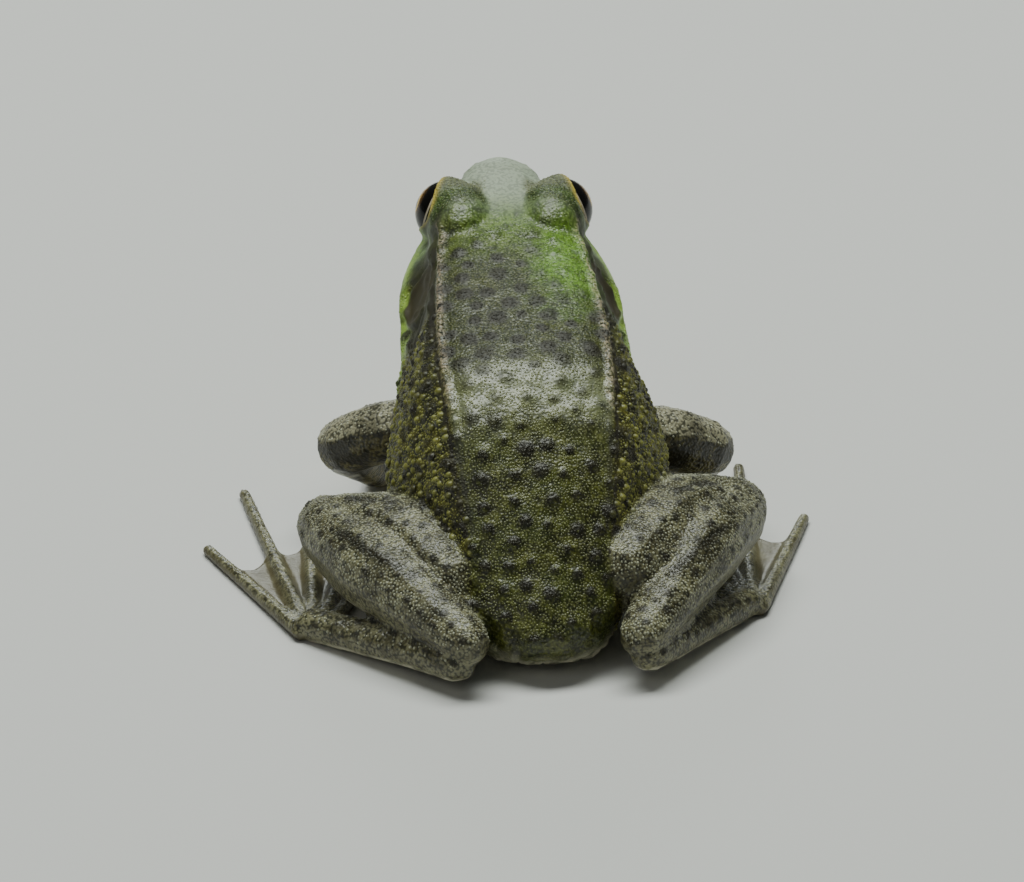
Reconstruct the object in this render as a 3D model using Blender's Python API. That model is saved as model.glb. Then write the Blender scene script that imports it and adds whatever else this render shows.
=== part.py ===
"""A life-size green frog, sitting with its legs folded, as separate solids of its named parts.

The frog faces -Y with its left side at +X, and rests on the plane z = 0. Sizes below are in
millimetres, in the animal's own terms: across from the midline, back from the tip of the
snout, and up from the ground. `place` turns them into the model's metres.
"""

import math
from collections import namedtuple

import bmesh
import bpy
import numpy as np
from mathutils import Matrix, Vector

MM = 0.001
BODY_LENGTH = 76.5  # snout to vent, measured along the ground
GAP = 0.3  # clearance between neighbouring solids
RING_STEPS = 3  # facets between two named points of a body section
BODY_RINGS = 31
RING_CROWDING = 0.45  # how far the rings crowd towards the snout and the vent, from 0 to 1
WELD = 0.00001  # metres, closer than which two points of a mesh are made one
LEFT, RIGHT = 1, -1
SIDES = {"L": LEFT, "R": RIGHT}

BODY_TURN = 0.025  # the body swings to its left of the legs, this much for each unit forwards
# The body's sections, from the snout to the vent. Each is a closed outline through the back's
# midline (top), the fold along the edge of the back (fold, drop below the top), the widest
# point of the side, a point of the belly's turn, and the belly's midline (bottom). Between
# the fold and the widest point the side bows out by `bow`.
Section = namedtuple("Section", "back half_width side top bottom fold drop bow")
SECTIONS = (
    Section(0.0, 2.2, 37.6, 39.4, 35.6, 1.1, 0.3, 0.3),  # tip of the snout
    Section(1.4, 4.5, 37.0, 41.3, 33.6, 2.4, 0.8, 0.5),
    Section(4.5, 7.1, 35.3, 42.4, 31.2, 3.9, 1.3, 0.4),  # nostrils
    Section(9.0, 10.2, 33.4, 41.8, 28.6, 5.1, 1.3, 0.2),  # front of the eyes
    Section(14.0, 12.9, 31.4, 40.9, 25.6, 6.6, 1.1, 0.1),  # middle of the eyes
    Section(20.0, 14.7, 29.0, 39.8, 22.0, 8.8, 1.0, -0.2),
    Section(26.0, 15.1, 26.4, 38.6, 18.0, 9.6, 1.0, -0.3),  # ear discs
    Section(32.0, 15.3, 23.4, 37.2, 13.2, 10.2, 1.1, 0.2),  # corners of the mouth
    Section(39.0, 16.7, 19.4, 35.6, 7.4, 10.8, 1.4, 1.3),  # shoulders
    Section(47.0, 18.6, 15.4, 33.7, 2.2, 11.1, 1.8, 2.0),  # fullest part of the flanks
    Section(54.0, 16.8, 13.2, 30.7, -0.2, 10.8, 2.2, 1.9),  # sacral hump
    Section(61.0, 13.6, 11.4, 24.8, -0.6, 9.8, 2.2, 1.3),
    Section(67.0, 11.4, 9.2, 18.4, -0.5, 8.4, 2.0, 1.1),  # hips
    Section(72.0, 8.8, 7.4, 12.4, 0.8, 6.2, 1.6, 0.8),
    Section(75.4, 4.6, 6.0, 8.4, 3.2, 2.6, 0.8, 0.4),  # vent
    Section(BODY_LENGTH, 2.0, 5.7, 6.6, 4.8, 1.0, 0.2, 0.2),
)
BELLY_TURN = (0.72, 0.17)  # share of the half width, and of the height from bottom to side

MOUTH_FRONT = (0.0, 35.4)  # (back, up) of the mouth's line at the snout
MOUTH_CORNER = (30.0, 25.0)
NECK_TOP = (36.0, 37.0)  # (back, up) of two points of the plane between head and trunk
NECK_BOTTOM = (28.0, 15.0)

EYE = (7.6, 11.4, 38.0)
EYE_RADIUS = 4.3
LID = (6.1, 14.0, 37.6)  # the bulge that the closed side of the lids makes on the head
LID_RADII = (4.8, 7.4, 5.1)
NOSTRIL = (4.1, 3.6, 40.4)
NOSTRIL_RADIUS = 0.45
NOSTRIL_LENGTH = 2.0  # of the drill, half of it outside the skin
NOSTRIL_FACES = (0.6, -0.3, 0.75)
EAR = (11.9, 25.4, 32.2)
EAR_FACES = (0.88, 0.05, 0.48)
EAR_RADIUS = 4.4
EAR_THICKNESS = 0.9
RECESS_REACH = 2.0  # the ear's recess is cut from this far outside the disc

# Each limb segment runs through named joints: (across, back, up, radius).
Joint = namedtuple("Joint", "across back up radius")
SHOULDER = Joint(11.0, 34.0, 17.0, 4.3)
UPPER_ARM = Joint(18.0, 32.6, 15.9, 4.3)
ELBOW = Joint(23.8, 29.2, 12.6, 4.0)
FOREARM = Joint(22.8, 24.6, 9.0, 3.5)
WRIST = Joint(19.6, 18.6, 3.2, 2.1)
PALM = Joint(18.6, 15.6, 1.9, 2.3)
ARM_BACK = {"L": 0.0, "R": 4.0}  # each arm's place, back from the joints above
# A leg's joints, the first of them deep in the trunk, and the heading of its longest toe in
# degrees outwards from straight ahead. The right leg is folded a little tighter.
Leg = namedtuple("Leg", "hip thigh knee calf shin heel heel_bone ankle heading")
LEGS = {
    "L": Leg(
        hip=Joint(12.6, 65.0, 10.2, 5.7),
        thigh=Joint(17.0, 57.6, 11.0, 6.8),
        knee=Joint(26.6, 48.0, 9.4, 4.8),
        calf=Joint(20.8, 60.4, 9.8, 6.1),
        shin=Joint(14.4, 71.2, 8.2, 4.2),
        heel=Joint(10.6, 76.6, 6.6, 3.3),
        heel_bone=Joint(11.6, 77.0, 4.2, 2.6),
        ankle=Joint(29.6, 60.8, 1.9, 2.1),
        heading=9.0,
    ),
    "R": Leg(
        hip=Joint(11.6, 64.6, 11.0, 6.1),
        thigh=Joint(16.8, 56.0, 11.7, 7.1),
        knee=Joint(26.6, 46.4, 9.6, 4.8),
        calf=Joint(20.8, 57.2, 10.3, 6.4),
        shin=Joint(16.0, 69.0, 8.2, 4.3),
        heel=Joint(12.8, 75.4, 6.6, 3.3),
        heel_bone=Joint(13.4, 76.0, 4.2, 2.6),
        ankle=Joint(27.6, 57.6, 1.9, 2.1),
        heading=2.0,
    ),
}

# Toes and fingers, from the innermost: length from the ankle or palm in millimetres, heading
# in degrees (outwards from the longest toe, or from straight ahead), and radius at the root.
Digit = namedtuple("Digit", "length heading radius")
TOES = (
    Digit(19.0, -32.0, 1.15),
    Digit(28.0, -21.0, 1.20),
    Digit(37.0, -10.5, 1.25),
    Digit(43.0, 0.0, 1.30),
    Digit(28.5, 15.0, 1.30),
)
TOE_SPACING = 0.85  # between the roots of neighbouring toes
DIGIT_TIP = 0.62  # a digit's radius at its tip, as a share of that at its root
WEB_REACH = 0.80  # share of each toe that the web follows
LONG_TOE_WEB_REACH = 0.62
WEB_SCALLOP = 0.16  # how far the web's free edge curves in, as a share of the toes' mean length
WEB_THICKNESS = 0.7
WEB_UP = 0.15  # the web's underside above the ground
FINGERS = (
    Digit(9.0, -62.0, 1.25),
    Digit(9.5, -24.0, 1.0),
    Digit(12.0, 8.0, 1.0),
    Digit(9.5, 42.0, 0.95),
)
DIGIT_SINK = 0.82  # a digit's axis lies this share of its radius above the ground

ROUND_END_STEPS = 2
ROUND_END_ANGLE = math.radians(80)  # how far round the dome of a limb's end goes
LIMB_SIDES = 4  # bevel resolution of an arm or leg
DIGIT_SIDES = 1  # bevel resolution of a toe or finger
BALL_SEGMENTS, BALL_RINGS = 16, 10
SCALLOP_POINTS = 6
SHARP_ANGLE = math.radians(40)

SKIN_BROWN = (0.115, 0.105, 0.050, 1.0)
SKIN_OLIVE = (0.160, 0.170, 0.060, 1.0)
SKIN_GREEN = (0.170, 0.300, 0.040, 1.0)
THROAT_CREAM = (0.560, 0.520, 0.260, 1.0)
EAR_BROWN = (0.180, 0.130, 0.060, 1.0)
EYE_DARK = (0.030, 0.024, 0.012, 1.0)


def place(across, back, up):
    """A point of the animal in the model's metres."""
    return Vector((across, back - BODY_LENGTH / 2, up)) * MM


def place_in_body(across, back, up):
    """A point of the head or trunk, which is turned a little to the left of the legs."""
    return place(across + BODY_TURN * (BODY_LENGTH - back), back, up)


def clear_scene():
    for obj in list(bpy.data.objects):
        bpy.data.objects.remove(obj)


def new_collection(name, hidden=False):
    collection = bpy.data.collections.new(name)
    bpy.context.scene.collection.children.link(collection)
    collection.hide_render = hidden
    return collection


def skin_material(name, colour, roughness):
    material = bpy.data.materials.new(name)
    material.use_nodes = True
    shader = material.node_tree.nodes["Principled BSDF"]
    shader.inputs["Base Color"].default_value = colour
    shader.inputs["Roughness"].default_value = roughness
    shader.inputs["Metallic"].default_value = 0.0
    material.diffuse_color = colour
    return material


def object_from(bm, name, collection):
    """Closes a bmesh off into a new object of the collection."""
    bmesh.ops.recalc_face_normals(bm, faces=bm.faces[:])
    mesh = bpy.data.meshes.new(name)
    bm.to_mesh(mesh)
    bm.free()
    obj = bpy.data.objects.new(name, mesh)
    collection.objects.link(obj)
    return obj


# ---------------------------------------------------------------- curves through named points


def through(knots, values, at):
    """Values of a smooth curve through (knots, values), for instance of a body section's size."""
    knots, values = np.asarray(knots, float), np.asarray(values, float)
    slopes = np.gradient(values, knots)
    i = np.clip(np.searchsorted(knots, at) - 1, 0, len(knots) - 2)
    span = knots[i + 1] - knots[i]
    t = (at - knots[i]) / span
    return (
        (2 * t**3 - 3 * t**2 + 1) * values[i]
        + (t**3 - 2 * t**2 + t) * span * slopes[i]
        + (3 * t**2 - 2 * t**3) * values[i + 1]
        + (t**3 - t**2) * span * slopes[i + 1]
    )


def ring_through(corners, steps):
    """A closed smooth outline through the corners, with `steps` points for each corner."""
    corners = np.asarray(corners, float)
    before, after, second = (np.roll(corners, n, axis=0) for n in (1, -1, -2))
    points = []
    for i in range(len(corners)):
        for t in np.arange(steps) / steps:
            points.append(
                0.5
                * (
                    2 * corners[i]
                    + (after[i] - before[i]) * t
                    + (2 * before[i] - 5 * corners[i] + 4 * after[i] - second[i]) * t**2
                    + (3 * corners[i] - before[i] - 3 * after[i] + second[i]) * t**3
                )
            )
    return points


def smooth_joints(joints, steps):
    """The joints with `steps` points between each two, on one smooth curve."""
    table = np.array(joints, float)
    lengths = np.linalg.norm(np.diff(table[:, :3], axis=0), axis=1)
    knots = np.concatenate([[0.0], np.cumsum(lengths)])
    at = np.concatenate(
        [np.linspace(a, b, steps, endpoint=False) for a, b in zip(knots, knots[1:])]
        + [knots[-1:]]
    )
    return np.stack([through(knots, column, at) for column in table.T], axis=1)


def round_ends(points):
    """Adds a dome to each end of a row of (across, back, up, radius)."""

    def dome(end, inner):
        outwards = (end[:3] - inner[:3]) / np.linalg.norm(end[:3] - inner[:3])
        rows = []
        for n in range(1, ROUND_END_STEPS + 1):
            angle = n * ROUND_END_ANGLE / ROUND_END_STEPS
            centre = end[:3] + outwards * end[3] * math.sin(angle)
            rows.append([*centre, end[3] * math.cos(angle)])
        return rows

    first, last = dome(points[0], points[1]), dome(points[-1], points[-2])
    return np.array([*first[::-1], *points, *last])


# ------------------------------------------------------------------------ cutting and joining


def apply_boolean(obj, other, operation):
    """Joins the other object to this one, or cuts it away, and removes the other."""
    modifier = obj.modifiers.new(operation.lower(), "BOOLEAN")
    modifier.operation = operation
    modifier.solver = "EXACT"
    modifier.object = other
    bake_modifiers(obj)
    bpy.data.objects.remove(other)


def bake_modifiers(obj):
    graph = bpy.context.evaluated_depsgraph_get()
    graph.update()
    mesh = bpy.data.meshes.new_from_object(obj.evaluated_get(graph))
    obj.modifiers.clear()
    obj.data = mesh


def grown_copy(obj, by):
    """A cutter: the object with its surface moved outwards."""
    cutter = obj.copy()
    cutter.data = obj.data.copy()
    CUTTERS.objects.link(cutter)
    cutter.hide_render = True
    cutter.display_type = "WIRE"
    swell = cutter.modifiers.new("swell", "DISPLACE")
    swell.strength = by * MM
    swell.mid_level = 0.0
    bake_modifiers(cutter)
    return cutter


def clear_of(obj, *neighbours):
    """Cuts the object back to leave the gap beside each neighbour, and keeps its main body."""
    for neighbour in neighbours:
        apply_boolean(obj, grown_copy(neighbour, GAP), "DIFFERENCE")
        keep_main_body(obj)


def keep_main_body(obj):
    """Removes the crumbs that a cut can leave beside the main body."""
    bm = bmesh.new()
    bm.from_mesh(obj.data)
    unseen, bodies = set(bm.verts), []
    while unseen:
        body, front = set(), [unseen.pop()]
        while front:
            vert = front.pop()
            body.add(vert)
            for edge in vert.link_edges:
                other = edge.other_vert(vert)
                if other in unseen:
                    unseen.remove(other)
                    front.append(other)
        bodies.append(body)
    bodies.sort(key=len)
    crumbs = [vert for body in bodies[:-1] for vert in body]
    bmesh.ops.delete(bm, geom=crumbs, context="VERTS")
    bm.to_mesh(obj.data)
    bm.free()


def cut_away(obj, point, normal):
    """Removes what lies past a plane, on the side its normal points to, and closes the cut."""
    bm = bmesh.new()
    bm.from_mesh(obj.data)
    everything = [*bm.verts, *bm.edges, *bm.faces]
    cut = bmesh.ops.bisect_plane(
        bm, geom=everything, plane_co=point, plane_no=normal, clear_outer=True
    )
    rim = [item for item in cut["geom_cut"] if isinstance(item, bmesh.types.BMVert)]
    bmesh.ops.remove_doubles(bm, verts=rim, dist=WELD)
    open_edges = [edge for edge in bm.edges if edge.is_boundary]
    lids = bmesh.ops.holes_fill(bm, edges=open_edges, sides=0)["faces"]
    bmesh.ops.triangulate(bm, faces=lids)
    bmesh.ops.recalc_face_normals(bm, faces=bm.faces[:])
    bm.to_mesh(obj.data)
    bm.free()


def stand_on_ground(obj):
    """Cuts a flat where the object would reach below the ground."""
    if min(vert.co.z for vert in obj.data.vertices) < 0:
        cut_away(obj, Vector((0, 0, 0)), Vector((0, 0, -1)))


# ------------------------------------------------------------------------------ shape makers


def body_loft(name):
    """The whole head and trunk: a loft through the sections, closed at the snout and vent."""
    table = np.array(SECTIONS)
    share = np.linspace(0, 1, BODY_RINGS)
    crowded = (1 - np.cos(math.pi * share)) / 2
    backs = BODY_LENGTH * (share + RING_CROWDING * (crowded - share))
    bm = bmesh.new()
    rings = []
    for back in backs:
        now = Section(*(through(table[:, 0], column, back) for column in table.T))
        turn = (
            BELLY_TURN[0] * now.half_width,
            now.bottom + BELLY_TURN[1] * (now.side - now.bottom),
        )
        fold = Vector((now.fold, now.top - now.drop))
        widest = Vector((now.half_width, now.side))
        outwards = Vector((fold.y - widest.y, widest.x - fold.x)).normalized()
        cheek = (fold + widest) / 2 + outwards * now.bow
        half = [fold, cheek, widest, turn]
        corners = [
            (0, now.top),
            *half,
            (0, now.bottom),
            *((-across, up) for across, up in reversed(half)),
        ]
        outline = ring_through(corners, RING_STEPS)
        rings.append([bm.verts.new(place_in_body(across, back, up)) for across, up in outline])
    for ring, following in zip(rings, rings[1:]):
        for i in range(len(ring)):
            j = (i + 1) % len(ring)
            bm.faces.new((ring[i], ring[j], following[j], following[i]))
    bm.faces.new(rings[0])
    bm.faces.new(rings[-1])
    return object_from(bm, name, PARTS)


def mesh_of_curve(curve):
    """A bmesh of the curve's solid, with its loose caps welded on."""
    guide = bpy.data.objects.new(curve.name, curve)
    CUTTERS.objects.link(guide)
    graph = bpy.context.evaluated_depsgraph_get()
    graph.update()
    bm = bmesh.new()
    bm.from_mesh(bpy.data.meshes.new_from_object(guide.evaluated_get(graph)))
    bmesh.ops.remove_doubles(bm, verts=bm.verts[:], dist=WELD)
    bpy.data.objects.remove(guide)
    return bm


def limb(name, joints, side, steps=4, sides=LIMB_SIDES):
    """A round limb along its joints: a bevelled curve with domed ends, made a closed mesh."""
    rows = round_ends(smooth_joints(joints, steps))
    curve = bpy.data.curves.new(name, "CURVE")
    curve.dimensions = "3D"
    curve.bevel_depth = MM
    curve.bevel_resolution = sides
    curve.use_fill_caps = True
    spline = curve.splines.new("POLY")
    spline.points.add(len(rows) - 1)
    for point, (across, back, up, radius) in zip(spline.points, rows):
        point.co = (*place(side * across, back, up), 1.0)
        point.radius = radius
    return object_from(mesh_of_curve(curve), name, PARTS)


def ball(name, centre, radii, collection):
    bm = bmesh.new()
    bmesh.ops.create_uvsphere(bm, u_segments=BALL_SEGMENTS, v_segments=BALL_RINGS, radius=MM)
    bmesh.ops.scale(bm, vec=radii, verts=bm.verts[:])
    bmesh.ops.translate(bm, vec=centre, verts=bm.verts[:])
    return object_from(bm, name, collection)


def disc(name, centre, faces, radius, thickness, collection, segments=24):
    """A round plate centred on a point, with its axis along `faces`."""
    bm = bmesh.new()
    turn = Vector((0, 0, 1)).rotation_difference(faces).to_matrix().to_4x4()
    bmesh.ops.create_cone(
        bm,
        cap_ends=True,
        segments=segments,
        radius1=radius * MM,
        radius2=radius * MM,
        depth=thickness * MM,
        matrix=Matrix.Translation(centre) @ turn,
    )
    return object_from(bm, name, collection)


def web_sheet(name, outline, side):
    """A flat outline on the ground, as thick as the web."""
    curve = bpy.data.curves.new(name, "CURVE")
    curve.dimensions = "2D"
    curve.fill_mode = "BOTH"
    curve.extrude = WEB_THICKNESS / 2 * MM
    spline = curve.splines.new("POLY")
    spline.points.add(len(outline) - 1)
    spline.use_cyclic_u = True
    for point, (across, back) in zip(spline.points, outline):
        point.co = (*place(side * across, back, 0), 1.0)
    bm = mesh_of_curve(curve)
    middle_up = (WEB_UP + WEB_THICKNESS / 2) * MM
    bmesh.ops.translate(bm, vec=(0, 0, middle_up), verts=bm.verts[:])
    return object_from(bm, name, PARTS)


# ----------------------------------------------------------------------------- head and trunk


def plane_between(first, second, facing_back):
    """The plane across the body through two (back, up) points, with its unit normal."""
    run = Vector((0, second[0] - first[0], second[1] - first[1])).normalized()
    normal = run.cross(Vector((1, 0, 0)))
    if normal.dot(Vector((0, *facing_back))) < 0:
        normal = -normal
    return place(0, *first), normal


def make_head_and_trunk():
    """The upper head, the lower jaw with the throat, and the trunk, parted by thin cuts."""
    neck, backwards = plane_between(NECK_TOP, NECK_BOTTOM, (1, 0))
    mouth, upwards = plane_between(MOUTH_FRONT, MOUTH_CORNER, (0, 1))
    half_gap = GAP / 2 * MM
    trunk = body_loft("trunk")
    cut_away(trunk, neck + backwards * half_gap, -backwards)
    stand_on_ground(trunk)
    head = body_loft("head")
    cut_away(head, neck - backwards * half_gap, backwards)
    cut_away(head, mouth + upwards * half_gap, -upwards)
    jaw = body_loft("lower_jaw")
    cut_away(jaw, neck - backwards * half_gap, backwards)
    cut_away(jaw, mouth - upwards * half_gap, upwards)
    return head, jaw, trunk


def mirrored(values, side):
    return (side * values[0], *values[1:])


def add_eye(head, name, side):
    """Swells the lids out of the head, cuts the eye's socket, and sets the eyeball in it."""
    centre = place_in_body(*mirrored(EYE, side))
    lids = ball("lids", place_in_body(*mirrored(LID, side)), LID_RADII, CUTTERS)
    apply_boolean(head, lids, "UNION")
    socket = ball("socket", centre, [EYE_RADIUS + GAP] * 3, CUTTERS)
    apply_boolean(head, socket, "DIFFERENCE")
    keep_main_body(head)
    return ball(name, centre, [EYE_RADIUS] * 3, PARTS)


def add_ear(head, name, side):
    """Lets the round ear disc into the side of the head."""
    faces = Vector(mirrored(EAR_FACES, side)).normalized()
    centre = place_in_body(*mirrored(EAR, side))
    depth = EAR_THICKNESS + 2 * GAP + RECESS_REACH
    middle = centre + faces * RECESS_REACH / 2 * MM
    recess = disc("recess", middle, faces, EAR_RADIUS + GAP, depth, CUTTERS)
    apply_boolean(head, recess, "DIFFERENCE")
    keep_main_body(head)
    return disc(name, centre, faces, EAR_RADIUS, EAR_THICKNESS, PARTS)


def add_nostril(head, side):
    faces = Vector(mirrored(NOSTRIL_FACES, side)).normalized()
    centre = place_in_body(*mirrored(NOSTRIL, side))
    drill = disc("drill", centre, faces, NOSTRIL_RADIUS, NOSTRIL_LENGTH, CUTTERS, segments=8)
    apply_boolean(head, drill, "DIFFERENCE")


# -------------------------------------------------------------------------------------- limbs


def make_arm(suffix, side, body):
    """Upper arm, forearm and hand, each cut clear of what it meets."""
    shoulder, upper_arm, elbow, forearm, wrist, palm = (
        joint._replace(back=joint.back + ARM_BACK[suffix])
        for joint in (SHOULDER, UPPER_ARM, ELBOW, FOREARM, WRIST, PALM)
    )
    upper = limb(f"upper_arm_{suffix}", [shoulder, upper_arm, elbow], side)
    clear_of(upper, *body)
    lower = limb(f"forearm_{suffix}", [elbow, forearm, wrist], side)
    clear_of(lower, *body, upper)
    hand = make_hand(f"hand_{suffix}", side, wrist, palm)
    clear_of(hand, lower)
    for piece in (upper, lower, hand):
        stand_on_ground(piece)
    return upper, lower, hand


def digit_joints(root, heading, digit):
    """Three joints of a toe or finger along the ground, from its root to its tip."""
    step = (math.sin(math.radians(heading)), -math.cos(math.radians(heading)))
    joints = []
    for share in (0.0, 0.5, 1.0):
        radius = digit.radius * (1 + (DIGIT_TIP - 1) * share)
        reach = share * (digit.length - radius)
        joints.append(
            Joint(
                root[0] + step[0] * reach,
                root[1] + step[1] * reach,
                radius * DIGIT_SINK,
                radius,
            )
        )
    return joints


def make_hand(name, side, wrist, palm):
    """The wrist and palm with four free fingers, of which the first is the thickest."""
    hand = limb(name, [wrist, palm], side, steps=3)
    for finger in FINGERS:
        joints = digit_joints((palm.across, palm.back), finger.heading, finger)
        apply_boolean(hand, limb("finger", joints, side, 2, DIGIT_SIDES), "UNION")
    return hand


def make_leg(suffix, side, body):
    """Thigh, shank, tarsus and foot, folded beside the trunk."""
    leg = LEGS[suffix]
    shank = limb(f"shank_{suffix}", [leg.knee, leg.calf, leg.shin, leg.heel], side)
    clear_of(shank, *body)
    thigh = limb(f"thigh_{suffix}", [leg.hip, leg.thigh, leg.knee], side)
    clear_of(thigh, *body, shank)
    tarsus = limb(f"tarsus_{suffix}", [leg.heel_bone, leg.ankle], side)
    clear_of(tarsus, *body, thigh, shank)
    foot = make_foot(f"foot_{suffix}", side, leg.ankle, leg.heading)
    clear_of(foot, shank, tarsus)
    for piece in (thigh, shank, tarsus, foot):
        stand_on_ground(piece)
    return thigh, shank, tarsus, foot


def make_foot(name, side, ankle, heading):
    """Five toes that fan out from the ankle, joined by a web with a scalloped free edge."""
    forwards = Vector((math.sin(math.radians(heading)), -math.cos(math.radians(heading))))
    outwards = Vector((-forwards.y, forwards.x))
    middle = (len(TOES) - 1) / 2
    rows = []
    for i, toe in enumerate(TOES):
        root = Vector((ankle.across, ankle.back)) + outwards * (i - middle) * TOE_SPACING
        rows.append(digit_joints(root, heading + toe.heading, toe))
    foot = limb(name, rows[0], side, 2, DIGIT_SIDES)
    for joints in rows[1:]:
        apply_boolean(foot, limb("toe", joints, side, 2, DIGIT_SIDES), "UNION")
    for i in range(len(TOES) - 1):
        outline = web_outline(rows[i], rows[i + 1], i)
        apply_boolean(foot, web_sheet("web", outline, side), "UNION")
    return foot


def web_outline(inner, outer, index):
    """The web between two toes: out along one, in a curve to the other, and back."""

    def at(joints, share):
        root, tip = Vector(joints[0][:2]), Vector(joints[-1][:2])
        return root.lerp(tip, share)

    long_toe = len(TOES) - 2
    reach = [
        LONG_TOE_WEB_REACH if i == long_toe else WEB_REACH for i in (index, index + 1)
    ]
    inner_end, outer_end = at(inner, reach[0]), at(outer, reach[1])
    root = at(inner, 0).lerp(at(outer, 0), 0.5)
    middle = inner_end.lerp(outer_end, 0.5)
    scallop = (root - middle) * WEB_SCALLOP
    edge = []
    for t in np.linspace(0, 1, SCALLOP_POINTS):
        sag = 4 * t * (1 - t)
        edge.append(inner_end.lerp(outer_end, t) + scallop * sag)
    return [at(inner, 0), *edge, at(outer, 0)]


# ----------------------------------------------------------------------------------- assembly


def centre_on_ground():
    """Moves the finished model so that its origin is at the middle of its box, on the ground."""
    corners = np.array([vert.co for obj in PARTS.objects for vert in obj.data.vertices])
    low, high = corners.min(axis=0), corners.max(axis=0)
    shift = Vector((-(low[0] + high[0]) / 2, -(low[1] + high[1]) / 2, -low[2]))
    for obj in PARTS.objects:
        obj.data.transform(Matrix.Translation(shift))


def finish(objects, colour, roughness):
    for obj in objects:
        obj.data.materials.clear()
        obj.data.materials.append(skin_material(obj.name, colour, roughness))
        obj.data.shade_smooth()
        obj.data.set_sharp_from_angle(angle=SHARP_ANGLE)


clear_scene()
PARTS = new_collection("green_frog")
CUTTERS = new_collection("cutters", hidden=True)

head, jaw, trunk = make_head_and_trunk()
body = (head, jaw, trunk)
eyes = [add_eye(head, f"eye_{suffix}", side) for suffix, side in SIDES.items()]
ears = [add_ear(head, f"eardrum_{suffix}", side) for suffix, side in SIDES.items()]
for side in SIDES.values():
    add_nostril(head, side)
limbs = []
for suffix, side in SIDES.items():
    limbs += make_arm(suffix, side, body)
    limbs += make_leg(suffix, side, body)
centre_on_ground()

finish([head], SKIN_GREEN, 0.4)
finish([jaw], THROAT_CREAM, 0.4)
finish([trunk], SKIN_OLIVE, 0.4)
finish(limbs, SKIN_BROWN, 0.4)
finish(ears, EAR_BROWN, 0.45)
finish(eyes, EYE_DARK, 0.08)
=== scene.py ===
"""A life-size green frog at rest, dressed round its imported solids.

Lengths are in metres, and in millimetres where a name ends in _mm. The frog faces -Y, with
its left side at +X.
"""

import functools
import math

import bmesh
import bpy
import numpy as np
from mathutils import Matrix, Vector, kdtree
from mathutils.bvhtree import BVHTree


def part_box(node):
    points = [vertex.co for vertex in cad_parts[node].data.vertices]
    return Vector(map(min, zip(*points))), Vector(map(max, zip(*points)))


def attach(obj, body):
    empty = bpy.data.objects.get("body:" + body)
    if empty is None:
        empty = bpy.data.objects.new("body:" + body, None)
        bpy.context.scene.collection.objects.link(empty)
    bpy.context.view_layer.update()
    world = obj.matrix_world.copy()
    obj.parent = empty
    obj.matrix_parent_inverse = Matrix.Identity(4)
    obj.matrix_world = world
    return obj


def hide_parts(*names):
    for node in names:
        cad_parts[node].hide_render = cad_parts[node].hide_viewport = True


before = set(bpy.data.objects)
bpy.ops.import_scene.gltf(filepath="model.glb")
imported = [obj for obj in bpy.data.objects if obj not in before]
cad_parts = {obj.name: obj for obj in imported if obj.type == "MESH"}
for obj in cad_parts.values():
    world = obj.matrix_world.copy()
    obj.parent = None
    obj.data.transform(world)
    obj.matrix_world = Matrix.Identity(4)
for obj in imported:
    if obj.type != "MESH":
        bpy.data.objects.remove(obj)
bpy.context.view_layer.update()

# ---------------- the skin's mesh
# A frog's skin is one loose, moist sheet from snout to toe tips, slung over the muscles. Here
# the solids of flesh are grown until their gaps close, wrapped in one surface, and eased.

MM = 0.001
GAP_CLOSING = 0.0002  # how far each solid of flesh grows
WRAP_CELL = 0.00036
FLESH = [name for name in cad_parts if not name.startswith("eye_")]
DIGITS = ("hand", "foot")
HEAD = ("head", "eardrum")
BODY = (*HEAD, "lower_jaw", "trunk")
EASE_ROUNDS, DIGIT_EASE, EASE_BLUR = 14, 0.35, 4
LID_EASE = 0.12  # the least easing, at the lids
LID_EASE_STARTS, LID_EASE_FADES = 0.6 * MM, 1.5 * MM  # out from the eyeball
STAY_GROWN = 0.1  # the share of the growth that the skin keeps


def welded(name):
    """A node's points and triangles, merged where they meet."""
    bm = bmesh.new()
    bm.from_mesh(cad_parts[name].data)
    bmesh.ops.remove_doubles(bm, verts=bm.verts[:], dist=0.000001)
    bmesh.ops.triangulate(bm, faces=bm.faces[:])
    bm.verts.index_update()
    points = np.array([vert.co[:] for vert in bm.verts])
    faces = [[vert.index for vert in face.verts] for face in bm.faces]
    bm.free()
    return points, faces


def linked(name, data):
    """An object of the data, linked into the scene."""
    obj = bpy.data.objects.new(name, data)
    bpy.context.scene.collection.objects.link(obj)
    return obj


def object_of(name, points, faces):
    mesh = bpy.data.meshes.new(name)
    mesh.from_pydata([tuple(point) for point in points], [], faces)
    mesh.update()
    return linked(name, mesh)


def bake_modifiers(obj):
    """Turns the object's modifiers into plain mesh."""
    graph = bpy.context.evaluated_depsgraph_get()
    graph.update()
    mesh = bpy.data.meshes.new_from_object(obj.evaluated_get(graph))
    obj.modifiers.clear()
    obj.data = mesh


def rows_of(items, field, width=3, kind=float):
    """One field of a mesh's points or edges, a row for each."""
    flat = np.empty(len(items) * width, dtype=kind)
    items.foreach_get(field, flat)
    return flat.reshape(-1, width)


def points_of(mesh):
    return rows_of(mesh.vertices, "co")


def normals_of(mesh):
    return rows_of(mesh.vertex_normals, "vector")


def edges_of(mesh):
    return rows_of(mesh.edges, "vertices", 2, np.int64)


def move_points(mesh, points):
    mesh.vertices.foreach_set("co", points.ravel())
    mesh.update()


def neighbour_mean(values, edges):
    """The mean of each point's neighbours."""
    first, second = edges.T
    total = np.zeros_like(values)
    count = np.bincount(edges.ravel(), minlength=len(values)).astype(float)
    for axis in range(values.shape[1]):
        total[:, axis] = np.bincount(first, values[second, axis], len(values)) + np.bincount(
            second, values[first, axis], len(values)
        )
    return total / np.maximum(count, 1)[:, None]


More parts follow.
